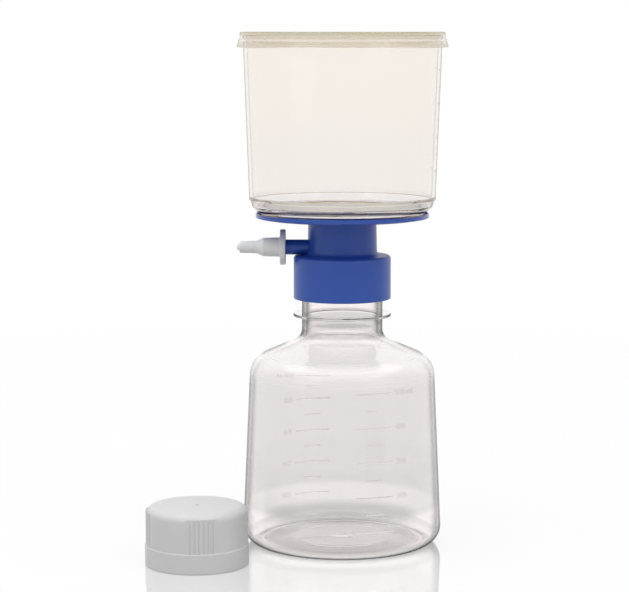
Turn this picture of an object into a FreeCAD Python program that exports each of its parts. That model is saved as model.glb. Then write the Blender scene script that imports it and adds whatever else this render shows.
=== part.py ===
import FreeCAD, Part
import os
import Sketcher
from FreeCAD import Placement, Rotation, Vector

# Vacuum filtration unit: a receiver bottle, a screw-on filter holder with a
# side arm and hose adapter, a clear funnel with a lift-off lid, a membrane
# disc and the bottle's storage cap, which stands beside it.
#
# Millimetres, +Z up. The origin is on the bottle's axis in the plane of its
# standing ring; the side arm points along -X. Every sub-part is drawn about
# its own origin and put in place by its Placement.

# ---------------------------------------------------------------- dimensions
# alias, value, what it is
DIMENSIONS = [
    # bottle body
    ("body_foot_radius", 48.5, "bottle body radius at the floor, before the base corner"),
    ("body_head_radius", 44.5, "bottle body radius where the side meets the shoulder"),
    ("body_height", 89.9, "height at which the side meets the shoulder"),
    ("bottle_wall", 1.5, "wall of the bottle's body"),
    ("base_corner", 8.5, "outer radius of the corner round the base"),
    ("shoulder_bend", 11.5, "outer radius of the bend from side to shoulder"),
    ("standing_radius", 38.0, "inner radius of the standing ring"),
    ("push_up_radius", 24.0, "radius of the raised middle of the base"),
    ("push_up_height", 1.2, "height of the raised middle of the base"),
    ("push_up_bend", 20.0, "radius of the bends of the raised base"),
    ("gate_radius", 5.5, "radius of the low boss in the middle of the base"),
    ("gate_height", 0.4, "height of that boss"),
    ("shoulder_rise", 11.1, "height from the body's top corner to the foot of the neck"),
    ("neck_bend", 6.0, "outer radius of the bend from shoulder to neck"),
    # bottle neck and its thread
    ("neck_radius", 19.5, "outer radius of the bottle's neck"),
    ("neck_wall", 1.8, "wall of the bottle's neck"),
    ("neck_height", 36.8, "height of the neck above the shoulder corner"),
    ("ring_drop", 25.3, "distance from the rim down to the support ring"),
    ("ring_thickness", 1.4, "thickness of the support ring"),
    ("ring_reach", 4.1, "how far the support ring stands out of the neck"),
    ("ring_round", 0.4, "rounding of the support ring's edges"),
    ("rim_round", 0.6, "rounding of the mouth's two edges"),
    ("thread_pitch", 5.0, "pitch of the neck thread"),
    ("thread_depth", 1.7, "height of the thread above the neck"),
    ("thread_root", 2.8, "width of a thread ridge at its root"),
    ("thread_crest", 1.5, "width of a thread ridge at its crest"),
    ("thread_length", 7.5, "height that each thread climbs"),
    ("thread_drop", 10.8, "distance from the rim down to the foot of the neck thread"),
    ("thread_clearance", 0.4, "radial clearance between thread crests and roots"),
    # gasket
    ("gasket_thickness", 1.3, "thickness of the neck gasket"),
    ("gasket_width", 5.4, "ring width of the neck gasket"),
    ("gasket_clearance", 0.6, "gap round the outside of the gasket"),
    ("seal_gap", 0.05, "running gap on each face of the gasket"),
    # filter holder
    ("collar_wall", 1.85, "wall of the threaded collar"),
    ("collar_height", 21.4, "height of the threaded collar"),
    ("collar_roof", 1.8, "thickness of the collar's roof"),
    ("collar_round", 1.5, "rounding of the collar's top edge"),
    ("collar_fall", 0.6, "how far the collar's roof falls from the neck to its edge"),
    ("chamber_radius", 14.8, "inner radius of the holder's neck"),
    ("holder_wall", 1.6, "wall of the holder's neck at its top"),
    ("holder_draft", 0.4, "how much wider the holder's neck is at its foot"),
    ("holder_neck", 17.3, "height of the holder's neck"),
    ("neck_foot_bend", 2.2, "radius of the bend from the collar's roof to the neck"),
    ("plate_radius", 38.6, "radius of the plate under the funnel"),
    ("plate_thickness", 4.0, "thickness of the plate at its edge"),
    ("drain_depth", 2.4, "depth of the drain recess in the plate"),
    ("drain_margin", 1.3, "width of the flat land that the membrane's edge lies on"),
    ("gutter_rise", 0.5, "height of the gutter's underside above the plate's"),
    ("gutter_floor", 0.6, "thickness of the gutter's floor"),
    ("gutter_width", 2.4, "width of the gutter between the plate and its lip"),
    ("lip_wall", 0.8, "thickness of the gutter's upturned lip"),
    ("lip_height", 1.6, "height of the lip above the gutter's floor"),
    ("rib_width", 1.0, "width of the drain ribs"),
    ("rib_count", 12, "number of long drain ribs, and of short ones between them"),
    ("rib_start", 2.2, "gap from the spout's bore to the long ribs"),
    ("short_rib_start", 11.0, "gap from the spout's bore to the short ribs"),
    ("spout_bore", 6.2, "inner radius of the drip spout"),
    ("spout_wall", 1.3, "wall of the drip spout"),
    ("spout_reach", 6.0, "how far the spout reaches into the bottle's neck"),
    ("arm_radius", 3.65, "outer radius of the side arm"),
    ("arm_sink", 0.3, "how deep the side arm is sunk into the collar's roof"),
    ("arm_reach", 27.3, "distance from the axis to the hose adapter"),
    ("arm_bore", 1.9, "inner radius of the side arm"),
    ("spigot_radius", 3.0, "radius of the side arm's end inside the adapter"),
    ("spigot_length", 9.6, "length of the side arm's end inside the adapter"),
    # hose adapter and its plug
    ("socket_clearance", 0.05, "radial clearance of the adapter on the side arm"),
    ("flange_radius", 8.55, "radius of the adapter's flange"),
    ("flange_thickness", 2.7, "thickness of the adapter's flange"),
    ("sleeve_radius", 4.7, "outer radius of the adapter's sleeve at the flange"),
    ("sleeve_draft", 0.2, "how much the sleeve narrows along its length"),
    ("sleeve_length", 10.75, "length of the flange and sleeve together"),
    ("nozzle_radius", 3.05, "outer radius of the hose nozzle at its root"),
    ("nozzle_draft", 0.22, "how much the nozzle narrows along its length"),
    ("nozzle_step", 3.35, "length of the taper from sleeve to nozzle"),
    ("nozzle_length", 8.1, "length of the hose nozzle"),
    ("nozzle_round", 0.3, "rounding of the nozzle's end"),
    ("nozzle_bore", 1.6, "inner radius of the hose nozzle"),
    ("nozzle_wall", 0.8, "thickness of the wall that closes the nozzle's bore"),
    ("tip_root", 2.0, "radius of the conical tip at its root"),
    ("tip_radius", 1.1, "radius of the conical tip at its end"),
    ("tip_length", 1.25, "length of the conical tip"),
    ("tip_round", 0.45, "rounding of the conical tip"),
    ("tip_bore", 0.5, "radius of the hole through the conical tip"),
    ("plug_length", 7.0, "length of the cotton plug in the side arm"),
    ("plug_clearance", 0.1, "radial clearance of the cotton plug"),
    # membrane and funnel
    ("membrane_thickness", 0.4, "thickness of the membrane disc"),
    ("membrane_clearance", 0.3, "gap round the membrane's edge"),
    ("funnel_overhang", 6.2, "how far the funnel's base bead stands out of the plate"),
    ("funnel_flare", 2.9, "how much wider the funnel is at its rim"),
    ("funnel_wall", 1.6, "wall of the funnel"),
    ("funnel_height", 83.6, "height of the funnel's rim above the plate"),
    ("seat_width", 1.0, "width of the plate's edge that the funnel sits on"),
    ("foot_clearance", 0.05, "gap between the plate's edge and the funnel's foot"),
    ("foot_wall", 0.6, "width of the funnel's foot, which goes round the plate"),
    ("foot_drop", 2.0, "how far the foot reaches below the top of the plate"),
    ("foot_taper", 1.8, "height of the top of the foot's cone above the plate"),
    ("skirt_inset", 1.5, "how far the skirt lies inside the bead at the top of that cone"),
    ("bead_height", 5.0, "height of the base bead above the plate"),
    ("bead_step", 0.6, "how far the bead stands out of the skirt"),
    ("ledge_height", 1.6, "height of the inner ledge above the plate at its bore"),
    ("ledge_rise", 0.4, "rise of the inner ledge from bore to wall"),
    ("ledge_bend", 1.5, "radius of the bends between ledge and wall"),
    # lid
    ("lid_clearance", 0.3, "radial gap between the lid and the funnel's rim"),
    ("lid_seat", 0.1, "gap between the lid's roof and the funnel's rim"),
    ("lid_wall", 1.1, "wall of the lid's skirt"),
    ("lid_roof", 1.6, "thickness of the lid's roof"),
    ("lid_height", 7.5, "height of the lid"),
    ("lid_band", 3.5, "height of the lid's plain upper band"),
    ("lid_step", 0.5, "how far the lower band stands out of the upper one"),
    ("lid_flare", 1.0, "how much wider the lower band is at its edge"),
    ("lid_round", 0.7, "rounding of the lid's top edge"),
    # storage cap
    ("cap_wall", 2.1, "wall of the cap above its smooth band"),
    ("cap_band_step", 0.7, "how far the smooth band stands out of the wall"),
    ("cap_band", 9.6, "height of the smooth band"),
    ("cap_depth", 25.6, "inner depth of the cap"),
    ("cap_roof", 2.0, "thickness of the cap's top"),
    ("cap_round", 3.6, "rounding of the cap's top edge"),
    ("cap_gate_radius", 1.2, "radius of the moulding mark in the middle of the cap's top"),
    ("cap_gate_depth", 0.3, "depth of that mark"),
    ("cap_rib_width", 1.3, "width of a grip rib"),
    ("cap_rib_reach", 0.32, "how far a grip rib stands out"),
    ("cap_rib_height", 16.1, "height of a grip rib"),
    ("cap_rib_count", 7, "grip ribs in a group"),
    ("cap_rib_spread", 30.2, "angle from the first to the last rib of a group, in degrees"),
    ("cap_rib_groups", 4, "groups of grip ribs round the cap"),
    ("cap_left", 67.9, "distance of the standing cap from the axis along -X"),
    ("cap_front", 46.5, "distance of the standing cap from the axis along -Y"),
    ("cap_turn", 8.6, "turn of the standing cap about its own axis, in degrees"),
]

doc = FreeCAD.newDocument("VacuumFiltrationUnit")
sheet = doc.addObject("Spreadsheet::Sheet", "Sizes")
for row, (alias, value, meaning) in enumerate(DIMENSIONS, start=1):
    sheet.set(f"A{row}", meaning)
    sheet.set(f"B{row}", str(value))
    sheet.setAlias(f"B{row}", alias)
doc.recompute()

# Sizes worked out from the driving ones, as expressions.
NECK_FOOT = "(Sizes.body_height + Sizes.shoulder_rise)"
RIM = f"({NECK_FOOT} + Sizes.neck_height)"
NECK_BORE = "(Sizes.neck_radius - Sizes.neck_wall)"
BOTTLE_THREAD_FOOT = f"({RIM} - Sizes.thread_drop)"
CLOSURE_CREST = "(Sizes.neck_radius + Sizes.thread_clearance)"
CLOSURE_BORE = f"({CLOSURE_CREST} + Sizes.thread_depth)"
GASKET_FOOT = f"({RIM} + Sizes.seal_gap)"
GASKET_RADIUS = f"({CLOSURE_BORE} - Sizes.gasket_clearance)"
COLLAR_CEILING = f"({GASKET_FOOT} + Sizes.gasket_thickness + Sizes.seal_gap)"
COLLAR_TOP = f"({COLLAR_CEILING} + Sizes.collar_roof)"
COLLAR_RADIUS = f"({CLOSURE_BORE} + Sizes.collar_wall)"
ARM_RISE = "(Sizes.arm_radius - Sizes.arm_sink)"
ARM_HEIGHT = f"({COLLAR_TOP} + {ARM_RISE})"
HOLDER_NECK_RADIUS = "(Sizes.chamber_radius + Sizes.holder_wall)"
PLATE_FOOT = f"({COLLAR_TOP} + Sizes.holder_neck)"
PLATE_TOP = f"({PLATE_FOOT} + Sizes.plate_thickness)"
FUNNEL_BORE = "(Sizes.plate_radius - Sizes.seat_width)"
DRAIN_RADIUS = f"({FUNNEL_BORE} - Sizes.drain_margin)"
LIP_BORE = "(Sizes.plate_radius + Sizes.gutter_width)"
FUNNEL_RADIUS = "(Sizes.plate_radius + Sizes.funnel_overhang)"
FUNNEL_RIM_RADIUS = f"({FUNNEL_RADIUS} + Sizes.funnel_flare)"
FUNNEL_RIM = f"({PLATE_TOP} + Sizes.funnel_height)"
LID_BORE = f"({FUNNEL_RIM_RADIUS} + Sizes.lid_clearance)"
CAP_RADIUS = f"({CLOSURE_BORE} + Sizes.cap_wall)"


def size(expression):
    """The value of an expression of the sheet's sizes, as a plain number."""
    return float(sheet.evalExpression(expression))


# ------------------------------------------------------------------- helpers
def new_body(label):
    """An empty body whose label names its file."""
    body = doc.addObject("PartDesign::Body", "Body_" + label)
    body.Label = label
    return body


def place(body, rotation=None, **offsets):
    """Puts a body in place; each offset is an expression for x, y or z."""
    body.Placement = Placement(Vector(), rotation or Rotation())
    for axis, expression in offsets.items():
        body.setExpression(f"Placement.Base.{axis}", expression)


def origin_plane(body, role):
    """One of the body's own origin planes."""
    return next(item for item in body.Origin.OriginFeatures if item.Role == role)


def new_sketch(body, name, plane="XZ_Plane"):
    """An empty sketch on one of the body's origin planes."""
    sketch = body.newObject("Sketcher::SketchObject", name)
    sketch.AttachmentSupport = [(origin_plane(body, plane), "")]
    sketch.MapMode = "FlatFace"
    return sketch


def bind(sketch, constraint, expression):
    """Adds a dimensional constraint whose value follows an expression."""
    index = sketch.addConstraint(constraint)
    sketch.setExpression(f"Constraints[{index}]", expression)


def draw_outline(sketch, corners):
    """A closed outline of straight edges and arcs.

    Each corner is (x, y) or (x, y, radius), all expressions; a radius rounds
    that corner with an arc tangent to the two edges.
    """
    points = [Vector(size(corner[0]), size(corner[1]), 0) for corner in corners]
    count = len(points)
    for index in range(count):
        end = points[(index + 1) % count]
        sketch.addGeometry(Part.LineSegment(points[index], end), False)
    for index in range(count):
        sketch.addConstraint(Sketcher.Constraint("Coincident", index, 2, (index + 1) % count, 1))
    for index, corner in enumerate(corners):
        at = points[index]
        bind(sketch, Sketcher.Constraint("DistanceX", -1, 1, index, 1, at.x), corner[0])
        bind(sketch, Sketcher.Constraint("DistanceY", -1, 1, index, 1, at.y), corner[1])
    for index, corner in enumerate(corners):
        if len(corner) == 3:
            sketch.fillet(index, 1, size(corner[2]), True, True)
            arc = sketch.GeometryCount - 2
            bind(sketch, Sketcher.Constraint("Radius", arc, size(corner[2])), corner[2])


def revolve(body, name, corners, kind="PartDesign::Revolution", axis="V_Axis", height=None):
    """Turns an outline drawn on the XZ plane once round the sketch's own axis."""
    sketch = new_sketch(body, name + "Section")
    if height:
        sketch.setExpression("AttachmentOffset.Base.y", height)
    draw_outline(sketch, corners)
    feature = body.newObject(kind, name)
    feature.Profile = sketch
    feature.ReferenceAxis = (sketch, [axis])
    feature.Angle = 360
    return feature


def add_thread(body, name, root, crest, foot):
    """A ridge that climbs round the Z axis, its root sunk into the wall."""
    sink = "Sizes.thread_depth / 4"
    inward = size(crest) < size(root)
    back = f"{root} + {sink}" if inward else f"{root} - {sink}"
    half_root = "Sizes.thread_root / 2"
    half_crest = "Sizes.thread_crest / 2"
    sketch = new_sketch(body, name + "Section")
    draw_outline(sketch, [
        (back, f"{foot} - {half_root}"),
        (root, f"{foot} - {half_root}"),
        (crest, f"{foot} - {half_crest}"),
        (crest, f"{foot} + {half_crest}"),
        (root, f"{foot} + {half_root}"),
        (back, f"{foot} + {half_root}"),
    ])
    helix = body.newObject("PartDesign::AdditiveHelix", name)
    helix.Profile = sketch
    helix.ReferenceAxis = (sketch, ["V_Axis"])
    helix.Mode = "pitch-height-angle"
    helix.setExpression("Pitch", "Sizes.thread_pitch")
    helix.setExpression("Height", "Sizes.thread_length")
    helix.LeftHanded = False
    return helix


def polar_pattern(body, name, feature, count):
    """Repeats a feature evenly round the Z axis."""
    pattern = body.newObject("PartDesign::PolarPattern", name)
    pattern.Originals = [feature]
    pattern.Axis = (origin_plane(body, "Z_Axis"), [""])
    pattern.Angle = 360
    pattern.setExpression("Occurrences", count)
    body.Tip = pattern
    return pattern


# -------------------------------------------------------------------- bottle
def make_bottle():
    """Blown bottle with a raised base, support ring and external thread."""
    body = new_body("bottle")
    ring_low = f"{RIM} - Sizes.ring_drop - Sizes.ring_thickness"
    ring_high = f"{RIM} - Sizes.ring_drop"
    ring_radius = "Sizes.neck_radius + Sizes.ring_reach"
    wall = "Sizes.bottle_wall"
    base_top = f"(Sizes.push_up_height + {wall})"
    revolve(body, "Shell", [
        ("0", "Sizes.push_up_height"),
        ("Sizes.push_up_radius", "Sizes.push_up_height", "Sizes.push_up_bend"),
        ("Sizes.standing_radius", "0", "Sizes.push_up_bend / 4"),
        ("Sizes.body_foot_radius", "0", "Sizes.base_corner"),
        ("Sizes.body_head_radius", "Sizes.body_height", "Sizes.shoulder_bend"),
        ("Sizes.neck_radius", NECK_FOOT, "Sizes.neck_bend"),
        ("Sizes.neck_radius", ring_low),
        (ring_radius, ring_low, "Sizes.ring_round"),
        (ring_radius, ring_high, "Sizes.ring_round"),
        ("Sizes.neck_radius", ring_high),
        ("Sizes.neck_radius", RIM, "Sizes.rim_round"),
        (NECK_BORE, RIM, "Sizes.rim_round"),
        (NECK_BORE, f"{NECK_FOOT} - {wall}", f"Sizes.neck_bend + {wall}"),
        (f"Sizes.body_head_radius - {wall}", f"Sizes.body_height - {wall}",
         f"Sizes.shoulder_bend - {wall}"),
        (f"Sizes.body_foot_radius - {wall}", wall, f"Sizes.base_corner - {wall}"),
        (f"Sizes.standing_radius - {wall}", wall, "Sizes.push_up_bend / 4"),
        ("Sizes.push_up_radius", base_top, "Sizes.push_up_bend"),
        ("Sizes.gate_radius", base_top, "Sizes.gate_radius / 2"),
        ("Sizes.gate_radius / 2", f"{base_top} + Sizes.gate_height", "Sizes.gate_radius / 2"),
        ("0", f"{base_top} + Sizes.gate_height"),
    ])
    crest = "Sizes.neck_radius + Sizes.thread_depth"
    add_thread(body, "Thread", "Sizes.neck_radius", crest, BOTTLE_THREAD_FOOT)
    return body


# -------------------------------------------------------------------- gasket
def make_neck_gasket():
    """Flat ring between the bottle's mouth and the collar's roof."""
    body = new_body("neck_gasket")
    inner = f"{GASKET_RADIUS} - Sizes.gasket_width"
    revolve(body, "Ring", [
        (inner, "0"),
        (GASKET_RADIUS, "0"),
        (GASKET_RADIUS, "Sizes.gasket_thickness"),
        (inner, "Sizes.gasket_thickness"),
    ])
    place(body, z=GASKET_FOOT)
    return body


# ------------------------------------------------------------- filter holder
def add_drain_ribs(body, name, start, floor, turn):
    """A ring of ribs from near the spout to the membrane's land, on the drain's floor."""
    sketch = new_sketch(body, name + "Section", "XY_Plane")
    sketch.AttachmentOffset = Placement(Vector(), Rotation(Vector(0, 0, 1), turn))
    sketch.setExpression("AttachmentOffset.Base.z", floor)
    inner = f"Sizes.spout_bore + {start}"
    outer = f"{DRAIN_RADIUS} + Sizes.drain_margin / 2"
    half_width = "Sizes.rib_width / 2"
    draw_outline(sketch, [
        (inner, f"-{half_width}"),
        (outer, f"-{half_width}"),
        (outer, half_width),
        (inner, half_width),
    ])
    rib = body.newObject("PartDesign::Pad", name)
    rib.Profile = sketch
    rib.setExpression("Length", "Sizes.drain_depth")
    polar_pattern(body, name + "s", rib, "Sizes.rib_count")


def make_filter_holder():
    """One moulding: funnel plate, hollow neck, side arm, spout and collar."""
    body = new_body("filter_holder")
    plate_foot = f"({PLATE_FOOT} - {COLLAR_TOP})"
    plate_top = f"({PLATE_TOP} - {COLLAR_TOP})"
    drain_floor = f"({plate_top} - Sizes.drain_depth)"
    spout_end = f"{RIM} - Sizes.spout_reach - {COLLAR_TOP}"
    spout_radius = "(Sizes.spout_bore + Sizes.spout_wall)"
    gutter_foot = f"({plate_foot} + Sizes.gutter_rise)"
    gutter_top = f"({gutter_foot} + Sizes.gutter_floor)"
    lip_radius = f"({LIP_BORE} + Sizes.lip_wall)"
    lip_top = f"({gutter_top} + Sizes.lip_height)"
    revolve(body, "Shell", [
        ("Sizes.spout_bore", spout_end),
        ("Sizes.spout_bore", drain_floor),
        (DRAIN_RADIUS, drain_floor),
        (DRAIN_RADIUS, plate_top),
        ("Sizes.plate_radius", plate_top),
        ("Sizes.plate_radius", gutter_top),
        (LIP_BORE, gutter_top),
        (LIP_BORE, lip_top, "Sizes.lip_wall * 0.4"),
        (lip_radius, lip_top, "Sizes.lip_wall * 0.4"),
        (lip_radius, gutter_foot, "Sizes.lip_wall * 0.6"),
        ("Sizes.plate_radius", gutter_foot),
        ("Sizes.plate_radius", plate_foot, "Sizes.gutter_rise / 2"),
        (HOLDER_NECK_RADIUS, plate_foot),
        (f"{HOLDER_NECK_RADIUS} + Sizes.holder_draft", "0", "Sizes.neck_foot_bend"),
        (COLLAR_RADIUS, "-Sizes.collar_fall", "Sizes.collar_round"),
        (COLLAR_RADIUS, "-Sizes.collar_height", "Sizes.collar_round / 4"),
        (CLOSURE_BORE, "-Sizes.collar_height", "Sizes.collar_round / 4"),
        (CLOSURE_BORE, "-Sizes.collar_roof"),
        ("Sizes.chamber_radius", "-Sizes.collar_roof"),
        ("Sizes.chamber_radius", plate_foot),
        (spout_radius, plate_foot),
        (spout_radius, spout_end),
    ])
    foot = f"({BOTTLE_THREAD_FOOT} - Sizes.thread_pitch / 2 - {COLLAR_TOP})"
    add_thread(body, "CollarThread", CLOSURE_BORE, CLOSURE_CREST, foot)
    half_step = 180.0 / size("Sizes.rib_count")
    add_drain_ribs(body, "LongRib", "Sizes.rib_start", drain_floor, 0)
    add_drain_ribs(body, "ShortRib", "Sizes.short_rib_start", drain_floor, half_step)
    arm_root = "Sizes.chamber_radius + Sizes.holder_wall / 2"
    spigot_end = "Sizes.arm_reach + Sizes.spigot_length"
    revolve(body, "SideArm", [
        (f"-({arm_root})", "0"),
        (f"-({arm_root})", "Sizes.arm_radius"),
        ("-Sizes.arm_reach", "Sizes.arm_radius"),
        ("-Sizes.arm_reach", "Sizes.spigot_radius"),
        (f"-({spigot_end})", "Sizes.spigot_radius"),
        (f"-({spigot_end})", "0"),
    ], axis="H_Axis", height=ARM_RISE)
    revolve(body, "SideArmBore", [
        ("-Sizes.chamber_radius + Sizes.holder_wall", "0"),
        ("-Sizes.chamber_radius + Sizes.holder_wall", "Sizes.arm_bore"),
        (f"-({spigot_end}) - Sizes.holder_wall", "Sizes.arm_bore"),
        (f"-({spigot_end}) - Sizes.holder_wall", "0"),
    ], kind="PartDesign::Groove", axis="H_Axis", height=ARM_RISE)
    place(body, z=COLLAR_TOP)
    return body


# -------------------------------------------------- hose adapter and its plug
def make_hose_adapter():
    """Stepped nozzle with a flange, pushed over the end of the side arm."""
    body = new_body("hose_adapter")
    socket = "(Sizes.spigot_radius + Sizes.socket_clearance)"
    socket_end = "(Sizes.spigot_length + Sizes.socket_clearance)"
    nozzle_root = "(Sizes.sleeve_length + Sizes.nozzle_step)"
    nozzle_end = f"({nozzle_root} + Sizes.nozzle_length)"
    nozzle_end_radius = "Sizes.nozzle_radius - Sizes.nozzle_draft"
    bore_end = f"({nozzle_end} - Sizes.nozzle_wall)"
    tip_end = f"({nozzle_end} + Sizes.tip_length)"
    revolve(body, "Sleeve", [
        (socket, "0"),
        ("Sizes.flange_radius", "0", "Sizes.flange_thickness / 6"),
        ("Sizes.flange_radius", "Sizes.flange_thickness", "Sizes.flange_thickness / 6"),
        ("Sizes.sleeve_radius", "Sizes.flange_thickness"),
        ("Sizes.sleeve_radius - Sizes.sleeve_draft", "Sizes.sleeve_length",
         "Sizes.nozzle_step / 4"),
        ("Sizes.nozzle_radius", nozzle_root, "Sizes.nozzle_step / 2"),
        (nozzle_end_radius, nozzle_end, "Sizes.nozzle_round"),
        ("Sizes.tip_root", nozzle_end),
        ("Sizes.tip_radius", tip_end, "Sizes.tip_round"),
        ("Sizes.tip_bore", tip_end),
        ("Sizes.tip_bore", bore_end),
        ("Sizes.nozzle_bore", bore_end),
        ("Sizes.nozzle_bore", socket_end),
        (socket, socket_end),
    ])
    place(body, Rotation(Vector(0, 1, 0), -90), x="-Sizes.arm_reach", z=ARM_HEIGHT)
    return body


def make_cotton_plug():
    """Short plug of cotton in the side arm's bore, at its outer end."""
    body = new_body("cotton_plug")
    radius = "Sizes.arm_bore - Sizes.plug_clearance"
    revolve(body, "Plug", [
        ("0", "0"),
        (radius, "0", f"({radius}) / 3"),
        (radius, "Sizes.plug_length", f"({radius}) / 3"),
        ("0", "Sizes.plug_length"),
    ])
    inner_end = "Sizes.spigot_length - Sizes.plug_length - Sizes.plug_clearance"
    place(body, Rotation(Vector(0, 1, 0), -90),
          x=f"-(Sizes.arm_reach + {inner_end})", z=ARM_HEIGHT)
    return body


# ------------------------------------------------------- membrane and funnel
def make_membrane():
    """Round membrane lying on the plate's land and drain ribs."""
    body = new_body("membrane")
    radius = f"{FUNNEL_BORE} - Sizes.membrane_clearance"
    revolve(body, "Disc", [
        ("0", "0"),
        (radius, "0"),
        (radius, "Sizes.membrane_thickness"),
        ("0", "Sizes.membrane_thickness"),
    ])
    place(body, z=PLATE_TOP)
    return body


def make_funnel():
    """Flared cup, open at both ends, whose base is welded over the plate's edge."""
    body = new_body("funnel")
    wall = "Sizes.funnel_wall"
    foot_bore = "(Sizes.plate_radius + Sizes.foot_clearance)"
    skirt = f"({FUNNEL_RADIUS} - Sizes.skirt_inset)"
    bead_radius = f"{FUNNEL_RADIUS} - Sizes.bead_step"
    ledge_top = "Sizes.ledge_height + Sizes.ledge_rise"
    edge = f"{wall} / 4"
    revolve(body, "Wall", [
        (FUNNEL_BORE, "0"),
        (foot_bore, "0"),
        (foot_bore, "-Sizes.foot_drop"),
        (f"{foot_bore} + Sizes.foot_wall", "-Sizes.foot_drop"),
        (skirt, "Sizes.foot_taper", wall),
        (bead_radius, "Sizes.bead_height"),
        (FUNNEL_RADIUS, "Sizes.bead_height", edge),
        (FUNNEL_RIM_RADIUS, "Sizes.funnel_height", edge),
        (f"{FUNNEL_RIM_RADIUS} - {wall}", "Sizes.funnel_height", edge),
        (f"{FUNNEL_RADIUS} - {wall}", f"Sizes.bead_height + {wall}", "Sizes.ledge_bend"),
        (f"{skirt} - {wall}", ledge_top, "Sizes.ledge_bend"),
        (FUNNEL_BORE, "Sizes.ledge_height", edge),
    ])
    place(body, z=PLATE_TOP)
    return body


# ----------------------------------------------------------------------- lid
def make_lid():
    """Shallow lid with a stepped, flared skirt that drops over the funnel."""
    body = new_body("lid")
    band = f"({LID_BORE} + Sizes.lid_wall)"
    step = "-Sizes.lid_band"
    edge = "Sizes.lid_wall / 3"
    flared = f"({band} + Sizes.lid_step + Sizes.lid_flare)"
    inner_step = "-Sizes.lid_band - Sizes.lid_wall"
    revolve(body, "Shell", [
        ("0", "0"),
        (band, "0", "Sizes.lid_round"),
        (band, step),
        (f"{band} + Sizes.lid_step", step, edge),
        (flared, "-Sizes.lid_height", edge),
        (f"{flared} - Sizes.lid_wall", "-Sizes.lid_height"),
        (f"{LID_BORE} + Sizes.lid_step", inner_step),
        (LID_BORE, inner_step),
        (LID_BORE, "-Sizes.lid_roof"),
        ("0", "-Sizes.lid_roof"),
    ])
    place(body, z=f"{FUNNEL_RIM} + Sizes.lid_seat + Sizes.lid_roof")
    return body


# --------------------------------------------------------------- storage cap
def make_cap():
    """Ribbed screw cap, standing on its open end beside the bottle."""
    body = new_body("cap")
    band_radius = f"({CAP_RADIUS} + Sizes.cap_band_step)"
    top = "(Sizes.cap_depth + Sizes.cap_roof)"
    edge = "Sizes.cap_band_step * 0.7"
    revolve(body, "Shell", [
        (CLOSURE_BORE, "0"),
        (band_radius, "0", edge),
        (band_radius, "Sizes.cap_band", edge),
        (CAP_RADIUS, "Sizes.cap_band"),
        (CAP_RADIUS, top, "Sizes.cap_round"),
        ("Sizes.cap_gate_radius", top),
        ("Sizes.cap_gate_radius", f"{top} - Sizes.cap_gate_depth"),
        ("0", f"{top} - Sizes.cap_gate_depth"),
        ("0", "Sizes.cap_depth"),
        (CLOSURE_BORE, "Sizes.cap_depth"),
    ])
    foot = "(Sizes.cap_depth - Sizes.thread_drop - Sizes.thread_pitch / 2)"
    add_thread(body, "Thread", CLOSURE_BORE, CLOSURE_CREST, foot)
    sketch = new_sketch(body, "GripRibSection", "XY_Plane")
    sketch.setExpression("AttachmentOffset.Base.z", "Sizes.cap_band")
    outer = f"{CAP_RADIUS} + Sizes.cap_rib_reach"
    draw_outline(sketch, [
        (f"{CAP_RADIUS} - Sizes.cap_rib_reach", "-Sizes.cap_rib_width / 2"),
        (outer, "-Sizes.cap_rib_width / 2", "Sizes.cap_rib_reach / 2"),
        (outer, "Sizes.cap_rib_width / 2", "Sizes.cap_rib_reach / 2"),
        (f"{CAP_RADIUS} - Sizes.cap_rib_reach", "Sizes.cap_rib_width / 2"),
    ])
    rib = body.newObject("PartDesign::Pad", "GripRib")
    rib.Profile = sketch
    rib.setExpression("Length", "Sizes.cap_rib_height")
    group = body.newObject("PartDesign::MultiTransform", "GripRibs")
    group.Originals = [rib]
    within = body.newObject("PartDesign::PolarPattern", "RibsInGroup")
    within.Axis = (origin_plane(body, "Z_Axis"), [""])
    within.setExpression("Angle", "Sizes.cap_rib_spread")
    within.setExpression("Occurrences", "Sizes.cap_rib_count")
    around = body.newObject("PartDesign::PolarPattern", "GroupsRoundCap")
    around.Axis = (origin_plane(body, "Z_Axis"), [""])
    around.Angle = 360
    around.setExpression("Occurrences", "Sizes.cap_rib_groups")
    group.Transformations = [within, around]
    body.Tip = group
    turn = size("Sizes.cap_turn - Sizes.cap_rib_spread / 2")
    place(body, Rotation(Vector(0, 0, 1), turn), x="-Sizes.cap_left", y="-Sizes.cap_front")
    return body


sub_parts = [
    make_bottle(),
    make_neck_gasket(),
    make_filter_holder(),
    make_hose_adapter(),
    make_cotton_plug(),
    make_membrane(),
    make_funnel(),
    make_lid(),
    make_cap(),
]
doc.recompute()

# --------------------------------------------------------- checks and export
for item in doc.Objects:
    if "Invalid" in item.State or "Error" in item.State:
        raise RuntimeError(f"{item.Label} failed: {item.State}")
for part in sub_parts:
    if part.Shape.isNull() or not part.Shape.isValid():
        raise RuntimeError(f"{part.Label} has no valid shape")
    if len(part.Shape.Solids) != 1:
        raise RuntimeError(f"{part.Label} holds {len(part.Shape.Solids)} solids")

os.makedirs("parts", exist_ok=True)
for part in sub_parts:
    part.Shape.exportStep(f"parts/{part.Label}.step")
    box = part.Shape.BoundBox
    print(f"{part.Label:14s} {part.Shape.Volume:10.1f} mm3  z {box.ZMin:7.2f} to {box.ZMax:7.2f}")
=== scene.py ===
import math
import bmesh
import bpy
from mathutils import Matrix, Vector
from mathutils.bvhtree import BVHTree


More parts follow.
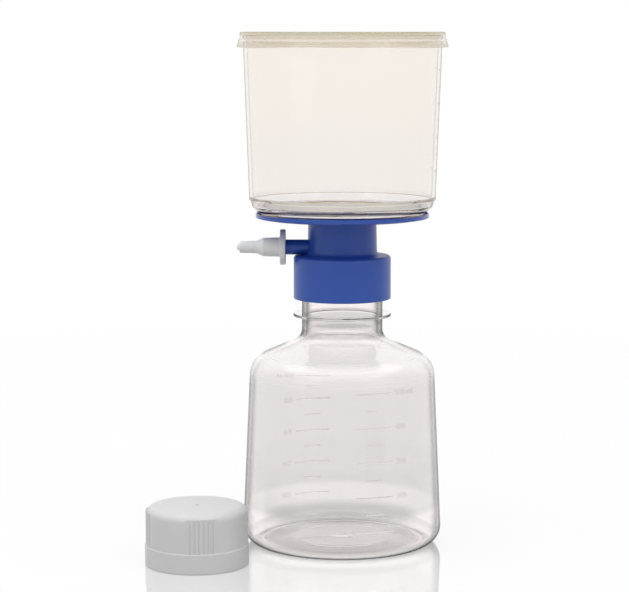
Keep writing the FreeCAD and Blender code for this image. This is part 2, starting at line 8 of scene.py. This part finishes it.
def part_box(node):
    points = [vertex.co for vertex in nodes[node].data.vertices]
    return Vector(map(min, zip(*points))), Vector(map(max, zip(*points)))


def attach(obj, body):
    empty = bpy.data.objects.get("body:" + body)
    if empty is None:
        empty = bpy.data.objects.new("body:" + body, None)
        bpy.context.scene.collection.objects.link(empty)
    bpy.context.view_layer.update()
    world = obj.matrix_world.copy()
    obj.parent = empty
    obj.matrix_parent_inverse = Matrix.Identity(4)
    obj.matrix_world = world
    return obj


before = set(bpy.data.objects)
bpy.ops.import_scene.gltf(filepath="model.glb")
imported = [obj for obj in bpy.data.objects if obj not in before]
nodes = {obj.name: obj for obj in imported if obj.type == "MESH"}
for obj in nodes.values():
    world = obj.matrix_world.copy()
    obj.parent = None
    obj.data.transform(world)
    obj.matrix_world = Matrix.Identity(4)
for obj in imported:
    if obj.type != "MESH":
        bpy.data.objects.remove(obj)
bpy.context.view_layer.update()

MM = 0.001


# ------------------------------------------------------------- node helpers
def feed(tree, socket, value):
    """Sets a socket to a plain value, or links it to the socket that feeds it."""
    if isinstance(value, bpy.types.NodeSocket):
        tree.links.new(value, socket)
    else:
        socket.default_value = value


def add_node(tree, kind, inputs=None, **settings):
    """Adds a node; inputs are plain values or the sockets that feed them."""
    node = tree.nodes.new(kind)
    for key, value in settings.items():
        setattr(node, key, value)
    for key, value in (inputs or {}).items():
        feed(tree, node.inputs[key], value)
    return node


def new_material(name):
    """An empty node material and its tree."""
    material = bpy.data.materials.new(name)
    material.use_nodes = True
    tree = material.node_tree
    tree.nodes.clear()
    return material, tree


def finish_material(tree, surface, volume=None):
    output = add_node(tree, "ShaderNodeOutputMaterial", {"Surface": surface})
    if volume:
        tree.links.new(volume, output.inputs["Volume"])


def place(tree):
    """Where a point is in the object's own frame, in metres."""
    return add_node(tree, "ShaderNodeTexCoord").outputs["Object"]


def part_of(tree, vector, axis):
    return add_node(tree, "ShaderNodeSeparateXYZ", {0: vector}).outputs[axis]


NOISE_LOW, NOISE_HIGH = 0.3, 0.7


def noise(tree, scale, detail=2.0, stretch=(1, 1, 1)):
    """Noise fixed to the object, with its scale in cells a metre. Most of its values
    lie between NOISE_LOW and NOISE_HIGH.
    """
    mapping = add_node(tree, "ShaderNodeMapping", {"Vector": place(tree), "Scale": stretch})
    texture = add_node(tree, "ShaderNodeTexNoise", {
        "Vector": mapping.outputs["Vector"], "Scale": scale, "Detail": detail})
    return texture.outputs["Fac"]


def remap(tree, value, low, high, to_low, to_high, smooth=False):
    node = add_node(tree, "ShaderNodeMapRange", {
        "Value": value, "From Min": low, "From Max": high, "To Min": to_low, "To Max": to_high})
    if smooth:
        node.interpolation_type = "SMOOTHSTEP"
    return node.outputs["Result"]


def bump(tree, relief, strength, distance):
    node = add_node(tree, "ShaderNodeBump", {
        "Height": relief, "Strength": strength, "Distance": distance})
    return node.outputs["Normal"]


def calculate(tree, operation, first, second):
    node = add_node(tree, "ShaderNodeMath", {0: first, 1: second}, operation=operation)
    return node.outputs[0]


def magnitude(tree, value):
    return calculate(tree, "ABSOLUTE", value, 0.0)


def mix_colour(tree, factor, first, second):
    inputs = {0: factor, 6: first, 7: second}
    return add_node(tree, "ShaderNodeMix", data_type="RGBA", inputs=inputs).outputs[2]


def mix_shader(tree, factor, first, second):
    node = add_node(tree, "ShaderNodeMixShader", {0: factor, 1: first, 2: second})
    return node.outputs[0]


def emission(tree, colour):
    node = add_node(tree, "ShaderNodeEmission", {"Color": (*colour, 1), "Strength": 1.0})
    return node.outputs[0]


def facing_away(tree):
    """0 where a surface faces the eye, 1 where it is seen edge on."""
    return add_node(tree, "ShaderNodeLayerWeight", {"Blend": 0.5}).outputs["Facing"]


# ---------------------------------------------------------------- materials
def height(tree):
    """Height above the surface that the object stands on at rest, in metres."""
    return part_of(tree, place(tree), "Z")


def height_ramp(tree, stops):
    """A colour that changes with height: stops are (metres, colour), lowest first."""
    low, high = stops[0][0], stops[-1][0]
    node = add_node(tree, "ShaderNodeValToRGB", {
        "Fac": remap(tree, height(tree), low, high, 0.0, 1.0)})
    ramp = node.color_ramp
    ramp.interpolation = "EASE"
    while len(ramp.elements) < len(stops):
        ramp.elements.new(0.5)
    for element, (level, colour) in zip(ramp.elements, stops):
        element.position = (level - low) / (high - low)
        element.color = (*colour, 1)
    return node.outputs["Color"]


# These set where clear walls get painted shade when seen edge on
# Height up to which walls that face down count as upright too, and from which they don't
FOOT_BOTTOM, FOOT_TOP = 0.004, 0.008
# Rise of a wall's normal up to which the wall is upright, and from which it is level
UPRIGHT, LEVEL = 0.45, 0.85
# How much of the painted shade a sloping wall takes
SLOPE_SHARE = 0.75
# Where that is full and where it ends, from the band's middle, in shares of its height
SLOPE_FULL, SLOPE_END = 0.3, 0.5


def painted_edge_shade(tree, edge_shade_stops, sloping):
    """How much painted shade a wall seen edge on gets, standing in for the dark edges of clear
    walls: its stops are (metres, facing at which it starts, facing at which it is full, share).
    Only upright walls get it, those that turn under at the foot, and in part those in the band
    of heights, sloping.
    """
    ramp = height_ramp(tree, [(level, stop) for level, *stop in edge_shade_stops])
    parts = add_node(tree, "ShaderNodeSeparateColor", {0: ramp}).outputs
    near_edge = remap(tree, facing_away(tree), parts[0], parts[1], 0.0, 1.0, smooth=True)
    normal = add_node(tree, "ShaderNodeNewGeometry").outputs["Normal"]
    rise = part_of(tree, normal, "Z")
    foot = remap(tree, height(tree), FOOT_BOTTOM, FOOT_TOP, 1.0, 0.0)
    inputs = {0: foot, 2: magnitude(tree, rise), 3: rise}
    tilt = add_node(tree, "ShaderNodeMix", inputs, data_type="FLOAT").outputs[0]
    upright = remap(tree, tilt, UPRIGHT, LEVEL, 1.0, 0.0, smooth=True)
    low, high = sloping
    from_middle = magnitude(tree, calculate(tree, "SUBTRACT", height(tree), (low + high) / 2))
    within = remap(tree, from_middle, (high - low) * SLOPE_FULL, (high - low) * SLOPE_END, 1.0, 0.0)
    slope = calculate(tree, "MULTIPLY", within, SLOPE_SHARE)
    share = calculate(tree, "MULTIPLY", near_edge, parts[2])
    return calculate(tree, "MULTIPLY", share, calculate(tree, "MAXIMUM", upright, slope))


# Depths behind the axis between which the painted shade on the heel's far side sets in
HEEL_FRONT, HEEL_BACK = 0.022, 0.036
# Heights between which it ends
HEEL_BOTTOM, HEEL_TOP = 0.006, 0.012
FLOW_SCALE, FLOW_STRETCH = 26.0, (1, 1, 0.35)
MOST_ROUGHNESS = 0.03
RIPPLE_DEPTH = 0.001


def shaded_far_heel(tree, tint_and_shade, heel_shade):
    """The tint with painted shade in a given colour on the low far part of the wall."""
    behind = remap(tree, part_of(tree, place(tree), "Y"), HEEL_FRONT, HEEL_BACK, 0.0, 1.0, smooth=True)
    low = remap(tree, height(tree), HEEL_BOTTOM, HEEL_TOP, 1.0, 0.0, smooth=True)
    return mix_colour(tree, calculate(tree, "MULTIPLY", behind, low), tint_and_shade, (*heel_shade, 1))


def clear_plastic(name, tints_and_shade, absorb, density, ior, gloss, edge, edge_shade_stops, ripple, deep_glow,
                  sloping=(0, 0), weld=None, heel_shade=None):
    """Clear moulded plastic. Its tint changes with height: in part the plastic's own colour,
    deeper where its wall is thicker, in part painted shade and painted colour in bands where
    its walls look darker or take the colour of parts seen through them. Its walls get painted
    shade where they are seen edge on. Rays that have turned many times in it end in a painted
    glow, an emission in the given deep colour. At the height weld it is joined to the coloured
    plastic below, whose colour shows there. The low far side of its foot gets painted shade in
    the given heel colour.
    """
    material, tree = new_material(name)
    flow = noise(tree, FLOW_SCALE, 2.0, FLOW_STRETCH)
    # The tint by height: the plastic's own colour with painted shade in bands
    tint_and_shade = height_ramp(tree, tints_and_shade)
    # Painted shade on the heel's far side
    if heel_shade:
        tint_and_shade = shaded_far_heel(tree, tint_and_shade, heel_shade)
    clear = add_node(tree, "ShaderNodeBsdfPrincipled", {
        "Base Color": tint_and_shade, "IOR": ior, "Transmission Weight": 1.0,
        "Roughness": remap(tree, flow, NOISE_LOW, NOISE_HIGH, 0.0, MOST_ROUGHNESS),
        "Specular Tint": (gloss, gloss, gloss, 1),
        "Normal": bump(tree, flow, ripple, RIPPLE_DEPTH)})
    # A dark see-through shader: the painted shade on walls seen edge on
    shade = add_node(tree, "ShaderNodeBsdfPrincipled", {
        "Base Color": (*edge, 1), "Roughness": 0.0, "IOR": 1.0, "Transmission Weight": 1.0})
    darkened = painted_edge_shade(tree, edge_shade_stops, sloping)
    surface = mix_shader(tree, darkened, clear.outputs[0], shade.outputs[0])
    if weld:
        inputs = {0: height(tree), 1: weld, 2: WELD_DEPTH}
        joined = add_node(tree, "ShaderNodeMath", inputs, operation="COMPARE").outputs[0]
        seam = add_node(tree, "ShaderNodeBsdfPrincipled", {"Base Color": (*SEAM, 1), "Roughness": 0.5})
        surface = mix_shader(tree, joined, surface, seam.outputs[0])
    # Rays past MOST_TURNS end in a painted glow, an emission in the given deep colour
    turns = add_node(tree, "ShaderNodeLightPath").outputs["Ray Depth"]
    spent = calculate(tree, "GREATER_THAN", turns, MOST_TURNS)
    surface = mix_shader(tree, spent, surface, emission(tree, deep_glow))
    material.cycles.emission_sampling = "NONE"
    volume = add_node(tree, "ShaderNodeVolumeAbsorption", {
        "Color": (*absorb, 1), "Density": density})
    finish_material(tree, surface, volume.outputs["Volume"])
    return material


GRAIN_SCALE, GRAIN_DEPTH = 2600.0, 0.00005
MOTTLE_SCALE = 45.0
GLOSS_SPREAD = 0.04
POLISH_FADE = 0.002


def moulded_plastic(name, colour, roughness, specular=0.5, grain=0.15, mottle=0.06, polish=None):
    """Opaque moulded plastic with a fine grain and slightly uneven gloss and colour.
    polish is (height, roughness) where its upper part is glossier.
    """
    material, tree = new_material(name)
    fine = noise(tree, GRAIN_SCALE, 3.0)
    broad = noise(tree, MOTTLE_SCALE, 3.0)
    darker = tuple(channel * (1 - mottle) for channel in colour)
    lighter = tuple(min(1.0, channel * (1 + mottle)) for channel in colour)
    glossiest, dullest = roughness - GLOSS_SPREAD, roughness + GLOSS_SPREAD
    uneven = remap(tree, broad, NOISE_LOW, NOISE_HIGH, glossiest, dullest)
    if polish:
        level, polished = polish
        above = remap(tree, height(tree), level - POLISH_FADE, level, 1.0, polished / roughness)
        uneven = calculate(tree, "MULTIPLY", uneven, above)
    shader = add_node(tree, "ShaderNodeBsdfPrincipled", {
        "Base Color": mix_colour(tree, broad, (*darker, 1), (*lighter, 1)),
        "Roughness": uneven, "Specular IOR Level": specular,
        "Normal": bump(tree, fine, grain, GRAIN_DEPTH)})
    finish_material(tree, shader.outputs["BSDF"])
    return material


MARK_SCALE = 900.0
MARK_TINTS = ((0.92, 0.90, 0.89, 1), (0.99, 0.97, 0.96, 1))
MARK_ROUGHNESS = (0.06, 0.16)


def raised_plastic(name):
    """The clear plastic of a raised mark, whose mould was cut rougher than the wall's."""
    material, tree = new_material(name)
    fine = noise(tree, MARK_SCALE, 2.0)
    shader = add_node(tree, "ShaderNodeBsdfPrincipled", {
        "Base Color": mix_colour(tree, fine, *MARK_TINTS),
        "Roughness": remap(tree, fine, NOISE_LOW, NOISE_HIGH, *MARK_ROUGHNESS),
        "IOR": 1.57, "Transmission Weight": 1.0})
    finish_material(tree, shader.outputs["BSDF"])
    return material


BLUE = (0.021, 0.076, 0.37)
SEAM = (0.15, 0.19, 0.42)
WELD_DEPTH = 0.00002
# Ray depth past which rays in the clear plastic end in a painted glow
MOST_TURNS = 12.5
SMOKE = (1.0, 0.978, 0.972)
# Heights of the sloping shoulder, which takes part of the painted shade when seen edge on
SHOULDER = (0.0915, 0.0985)
# Height in metres, and how much light the wall lets through there: painted shade in bands, darker on
# most of the body, the heel and the neck's rings, and clear on the base and the shoulder
BOTTLE_SHADE_LEVELS = (
    (0.0000, 1.00), (0.0028, 1.00), (0.0034, 0.84), (0.0050, 0.84), (0.0062, 1.00),
    (0.0180, 1.00), (0.0215, 0.86), (0.0390, 0.85), (0.0470, 0.88), (0.0630, 0.88),
    (0.0790, 0.88), (0.0850, 0.93), (0.0900, 1.00), (0.1005, 1.00), (0.1020, 0.76),
    (0.1043, 0.76), (0.1052, 1.00), (0.1068, 1.00), (0.1078, 0.72), (0.1103, 0.72),
    (0.1110, 0.96), (0.1114, 0.60), (0.1122, 0.60), (0.1125, 0.98), (0.1400, 0.98))
BOTTLE_SHADED_TINTS = [
    (level, tuple(share * channel for channel in SMOKE)) for level, share in BOTTLE_SHADE_LEVELS]
# Painted shade on the bottle's walls seen edge on: (metres, facing at which it starts, facing at which
# it is full, share)
BOTTLE_EDGE_SHADE = (
    (0.000, 0.40, 0.80, 0.90), (0.006, 0.55, 0.85, 0.75), (0.012, 0.64, 0.88, 0.62),
    (0.078, 0.64, 0.88, 0.55), (0.088, 0.64, 0.92, 0.25), (0.0915, 0.76, 0.94, 0.70),
    (0.0985, 0.76, 0.94, 0.70), (0.1010, 0.55, 0.80, 0.40), (0.1030, 0.38, 0.74, 0.70),
    (0.1400, 0.38, 0.74, 0.70))
# Painted shade on the funnel's and lid's walls seen edge on
FUNNEL_EDGE_SHADE = ((0.160, 0.80, 0.93, 0.45), (0.250, 0.80, 0.93, 0.45))
# The funnel's warm tint, greyer lower down, with a painted blue cast at its foot standing in for the
# blue plate seen through it
FUNNEL_TINTS_AND_BLUE_CAST = (
    (0.158, (0.90, 0.90, 0.94)), (0.1642, (0.90, 0.89, 0.93)), (0.1672, (0.93, 0.92, 0.93)),
    (0.172, (0.965, 0.95, 0.935)), (0.245, (0.98, 0.96, 0.935)))
LID_TINTS = (
    (0.235, (0.87, 0.845, 0.84)), (0.2445, (0.87, 0.84, 0.79)), (0.2462, (0.79, 0.76, 0.65)),
    (0.250, (0.79, 0.76, 0.65)))
MATERIALS = {
    "bottle": clear_plastic(
        "clear_bottle", BOTTLE_SHADED_TINTS, absorb=(0.30, 0.27, 0.255), density=9.0, ior=1.57, gloss=0.4,
        edge=(0.05, 0.05, 0.048), edge_shade_stops=BOTTLE_EDGE_SHADE, ripple=0.05, deep_glow=(0.60, 0.58, 0.57),
        sloping=SHOULDER, heel_shade=(0.70, 0.685, 0.685)),
    "funnel": clear_plastic(
        "clear_funnel", FUNNEL_TINTS_AND_BLUE_CAST, absorb=(0.705, 0.583, 0.42), density=50.0, ior=1.59, gloss=0.6,
        edge=(0.25, 0.22, 0.18), edge_shade_stops=FUNNEL_EDGE_SHADE, ripple=0.03, deep_glow=(0.62, 0.58, 0.50),
        weld=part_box("filter_holder")[1][2]),
    "lid": clear_plastic(
        "clear_lid", LID_TINTS, absorb=(0.62, 0.56, 0.42), density=8.0, ior=1.59, gloss=0.6,
        edge=(0.30, 0.28, 0.20), edge_shade_stops=FUNNEL_EDGE_SHADE, ripple=0.03, deep_glow=(0.66, 0.60, 0.43)),
    "filter_holder": moulded_plastic(
        "blue_plastic", BLUE, 0.34, specular=0.4, polish=(0.1575, 0.12)),
    "cap": moulded_plastic("grey_plastic", (0.585, 0.585, 0.585), 0.42),
    "hose_adapter": moulded_plastic("natural_plastic", (0.72, 0.72, 0.715), 0.38),
    "neck_gasket": moulded_plastic("gasket_rubber", (0.75, 0.75, 0.73), 0.7, grain=0.4),
    "membrane": moulded_plastic("membrane_white", (0.86, 0.86, 0.85), 0.85, grain=0.8, mottle=0.02),
    "cotton_plug": moulded_plastic("cotton", (0.88, 0.87, 0.84), 0.9, grain=1.0, mottle=0.05),
}
for name, material in MATERIALS.items():
    node = nodes[name]
    if node.material_slots:
        for slot in node.material_slots:
            slot.material = material
    else:
        node.data.materials.append(material)


# ------------------------------------------------------- raised graduations
RISE = 0.20 * MM
SINK = 0.06 * MM
LINE_WIDTH = 0.55 * MM
LINE_STEPS = 24
# A line's height at its ends, as a share of the full one, and how fast it climbs from there
LINE_END, LINE_CLIMB = 0.25, 8
FIGURE_SIZE = 4.0 * MM
FIGURE_GAP = 1.8 * MM
RAYS = 24
RAY_START = 0.2
RAY_LEVELS = (0.3, 0.5)


def outer_radius(node):
    """Radius of a node's conical wall at any height, from rays sent in at two heights.
    The rays are a whole radian apart, so they meet the facets in many different places.
    """
    tree = BVHTree.FromObject(node, bpy.context.evaluated_depsgraph_get())
    low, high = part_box(node.name)
    levels = [low[2] + share * (high[2] - low[2]) for share in RAY_LEVELS]
    radii = []
    for level in levels:
        widths = []
        for turn in range(RAYS):
            direction = Vector((math.cos(turn), math.sin(turn), 0))
            start = direction * RAY_START + Vector((0, 0, level))
            hit = tree.ray_cast(start, -direction)[0]
            widths.append(hit.xy.length)
        radii.append(max(widths))
    slope = (radii[1] - radii[0]) / (levels[1] - levels[0])
    return lambda level: radii[0] + slope * (level - levels[0])


def wrap(points, radius_at, azimuth, level):
    """Puts flat points (along, up, out) on the wall, round from azimuth at that level."""
    wrapped = []
    for along, up, out in points:
        radius = radius_at(level + up)
        turn = azimuth + along / radius
        reach = radius + out
        wrapped.append((reach * math.sin(turn), -reach * math.cos(turn), level + up))
    return wrapped


def add_line(built, radius_at, start, end, level):
    """A rounded ridge from azimuth start to end, lower at its two ends."""
    half = LINE_WIDTH / 2
    flank, flank_rise = half * 0.5, RISE * 0.8
    section = [(-half, -SINK), (-flank, flank_rise), (0, RISE), (flank, flank_rise), (half, -SINK)]
    length = (end - start) * radius_at(level)
    rings = []
    for step in range(LINE_STEPS + 1):
        share = step / LINE_STEPS
        fade = min(1.0, LINE_END + LINE_CLIMB * min(share, 1 - share))
        points = [(share * length, up, out if out < 0 else out * fade) for up, out in section]
        rings.append([built.verts.new(at) for at in wrap(points, radius_at, start, level)])
    for first, second in zip(rings, rings[1:]):
        for index in range(len(section)):
            after = (index + 1) % len(section)
            built.faces.new((first[index], second[index], second[after], first[after]))
    built.faces.new(rings[0])
    built.faces.new(rings[-1][::-1])


def add_figures(built, radius_at, start, level, words):
    """Raised figures that begin at an azimuth, centred on the level."""
    curve = bpy.data.curves.new("figures", "FONT")
    curve.body = words
    curve.size = FIGURE_SIZE
    curve.align_y = "CENTER"
    curve.extrude = (RISE + SINK) / 2
    curve.resolution_u = 3
    flat = bpy.data.objects.new("figures", curve)
    mesh = bpy.data.meshes.new_from_object(flat)
    middle = (RISE - SINK) / 2
    points = [(vertex.co.x, vertex.co.y, vertex.co.z + middle) for vertex in mesh.vertices]
    added = [built.verts.new(at) for at in wrap(points, radius_at, start, level)]
    for polygon in mesh.polygons:
        built.faces.new([added[index] for index in polygon.vertices])
    bpy.data.objects.remove(flat)
    bpy.data.curves.remove(curve)
    bpy.data.meshes.remove(mesh)


def add_scale(name, node, body, marks, sides):
    """One piece with all the raised marks on a wall: marks are (level, from, to, figures),
    with angles in degrees round from each side's azimuth.
    """
    radius_at = outer_radius(node)
    built = bmesh.new()
    for side in sides:
        for level, start, end, words in marks:
            start, end = math.radians(side + start), math.radians(side + end)
            add_line(built, radius_at, start, end, level)
            if words:
                gap = FIGURE_GAP / radius_at(level)
                add_figures(built, radius_at, end + gap, level, words)
    bmesh.ops.remove_doubles(built, verts=built.verts, dist=1e-6)
    bmesh.ops.recalc_face_normals(built, faces=built.faces)
    mesh = bpy.data.meshes.new(name)
    built.to_mesh(mesh)
    built.free()
    piece = bpy.data.objects.new(name, mesh)
    bpy.context.collection.objects.link(piece)
    piece.data.materials.append(raised_plastic(f"{name}_plastic"))
    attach(piece, body)


def graduations(first, step, count, unit, wide, narrow):
    """Marks for each 100 mL from the first level up, with a short one between each two.
    wide and narrow are where a mark starts and ends, in degrees.
    """
    marks = []
    for index in range(count):
        words = f"{100 * (index + 1)}{unit if index == count - 1 else ''}"
        marks.append((first + index * step, *wide, words))
        if index < count - 1:
            marks.append((first + (index + 0.5) * step, *narrow, ""))
    return marks


BOTTLE_MARKS = graduations(
    first=0.0144, step=0.0163, count=5, unit=" mL", wide=(8.0, 31.0), narrow=(14.0, 24.5))
FUNNEL_MARKS = graduations(
    first=0.1815, step=0.0160, count=4, unit="", wide=(-7.0, 4.0), narrow=(-4.0, 4.0))
add_scale("bottle_scale", nodes["bottle"], "bottle_body", BOTTLE_MARKS, (0, 180))
add_scale("funnel_scale", nodes["funnel"], "head", FUNNEL_MARKS, (86,))


# ------------------------------------------------------------- floor, lights
FLOOR_REACH = 8.0
# Distances from the origin between which the floor's shadow and shine fade out
NEAR_FLOOR, FAR_FLOOR = 0.25, 0.9
SHADED_SHARE = 0.35
GLANCING_POWER = 2.6
FLOOR_GREY = 0.80
FLOOR_BOUNCE = 0.50
WORLD_LIGHT = 0.6


def seen_ray(tree):
    """1 for rays from the camera, and for those that gloss or glass sends on."""
    path = add_node(tree, "ShaderNodeLightPath").outputs
    seen = calculate(tree, "MAXIMUM", path["Is Camera Ray"], path["Is Transmission Ray"])
    return calculate(tree, "MAXIMUM", seen, path["Is Glossy Ray"])


def plain_matt(tree, grey):
    node = add_node(tree, "ShaderNodeBsdfDiffuse", {"Color": (grey, grey, grey, 1)})
    return node.outputs[0]


def make_floor():
    """White floor: near the object it takes a shadow and a polished floor's reflection."""
    mesh = bpy.data.meshes.new("floor")
    corners = [(-1, -1), (1, -1), (1, 1), (-1, 1)]
    mesh.from_pydata([(FLOOR_REACH * x, FLOOR_REACH * y, 0) for x, y in corners], [], [(0, 1, 2, 3)])
    floor = bpy.data.objects.new("floor", mesh)
    bpy.context.collection.objects.link(floor)
    material, tree = new_material("floor")
    inputs = {0: place(tree)}
    distance = add_node(tree, "ShaderNodeVectorMath", inputs, operation="LENGTH").outputs["Value"]
    near = remap(tree, distance, NEAR_FLOOR, FAR_FLOOR, 1.0, 0.0, smooth=True)
    shaded = calculate(tree, "MULTIPLY", near, SHADED_SHARE)
    body = mix_shader(tree, shaded, emission(tree, (1, 1, 1)), plain_matt(tree, FLOOR_GREY))
    gloss = add_node(tree, "ShaderNodeBsdfGlossy", {"Color": (1, 1, 1, 1), "Roughness": 0.06})
    glancing = calculate(tree, "POWER", facing_away(tree), GLANCING_POWER)
    shine = calculate(tree, "MULTIPLY", near, glancing)
    polished = mix_shader(tree, shine, body, gloss.outputs[0])
    unseen = plain_matt(tree, FLOOR_BOUNCE)
    finish_material(tree, mix_shader(tree, seen_ray(tree), unseen, polished))
    mesh.materials.append(material)


def make_world():
    """White where it is seen, reflected or refracted; a plain level where it lights."""
    world = bpy.data.worlds.new("studio")
    bpy.context.scene.world = world
    world.use_nodes = True
    tree = world.node_tree
    tree.nodes.clear()
    strength = remap(tree, seen_ray(tree), 0.0, 1.0, WORLD_LIGHT, 1.0)
    background = add_node(tree, "ShaderNodeBackground", {
        "Color": (1, 1, 1, 1), "Strength": strength})
    add_node(tree, "ShaderNodeOutputWorld", {"Surface": background.outputs[0]})


def area_light(name, at, toward, size, power):
    """A square light that is turned towards a point."""
    data = bpy.data.lights.new(name, "AREA")
    data.shape = "RECTANGLE"
    data.size = size
    data.size_y = size
    data.energy = power
    lamp = bpy.data.objects.new(name, data)
    bpy.context.collection.objects.link(lamp)
    lamp.location = at
    lamp.rotation_euler = (Vector(toward) - Vector(at)).to_track_quat("-Z", "Y").to_euler()


make_floor()
make_world()
MIDDLE = (0, 0, 0.12)
area_light("top", (0, -0.25, 1.5), MIDDLE, size=2.6, power=28.0)
area_light("key", (-1.2, -1.2, 0.9), MIDDLE, size=1.2, power=3.0)
area_light("fill", (1.3, -1.0, 0.8), MIDDLE, size=1.2, power=2.0)


# ------------------------------------------------------------------- camera
def make_camera():
    distance = 1.056
    eye_height = 0.2506
    tilt = math.radians(7.02)
    yaw = math.radians(0.727)
    data = bpy.data.cameras.new("camera")
    data.sensor_width = 36.0
    data.lens = 125.9
    data.clip_end = 50.0
    camera = bpy.data.objects.new("camera", data)
    bpy.context.collection.objects.link(camera)
    camera.location = (0, -distance, eye_height)
    camera.rotation_euler = (math.pi / 2 - tilt, 0, yaw)
    bpy.context.scene.camera = camera


make_camera()
scene = bpy.context.scene
scene.view_settings.view_transform = "Standard"
scene.cycles.max_bounces = 16
scene.cycles.transmission_bounces = 16
scene.cycles.glossy_bounces = 16
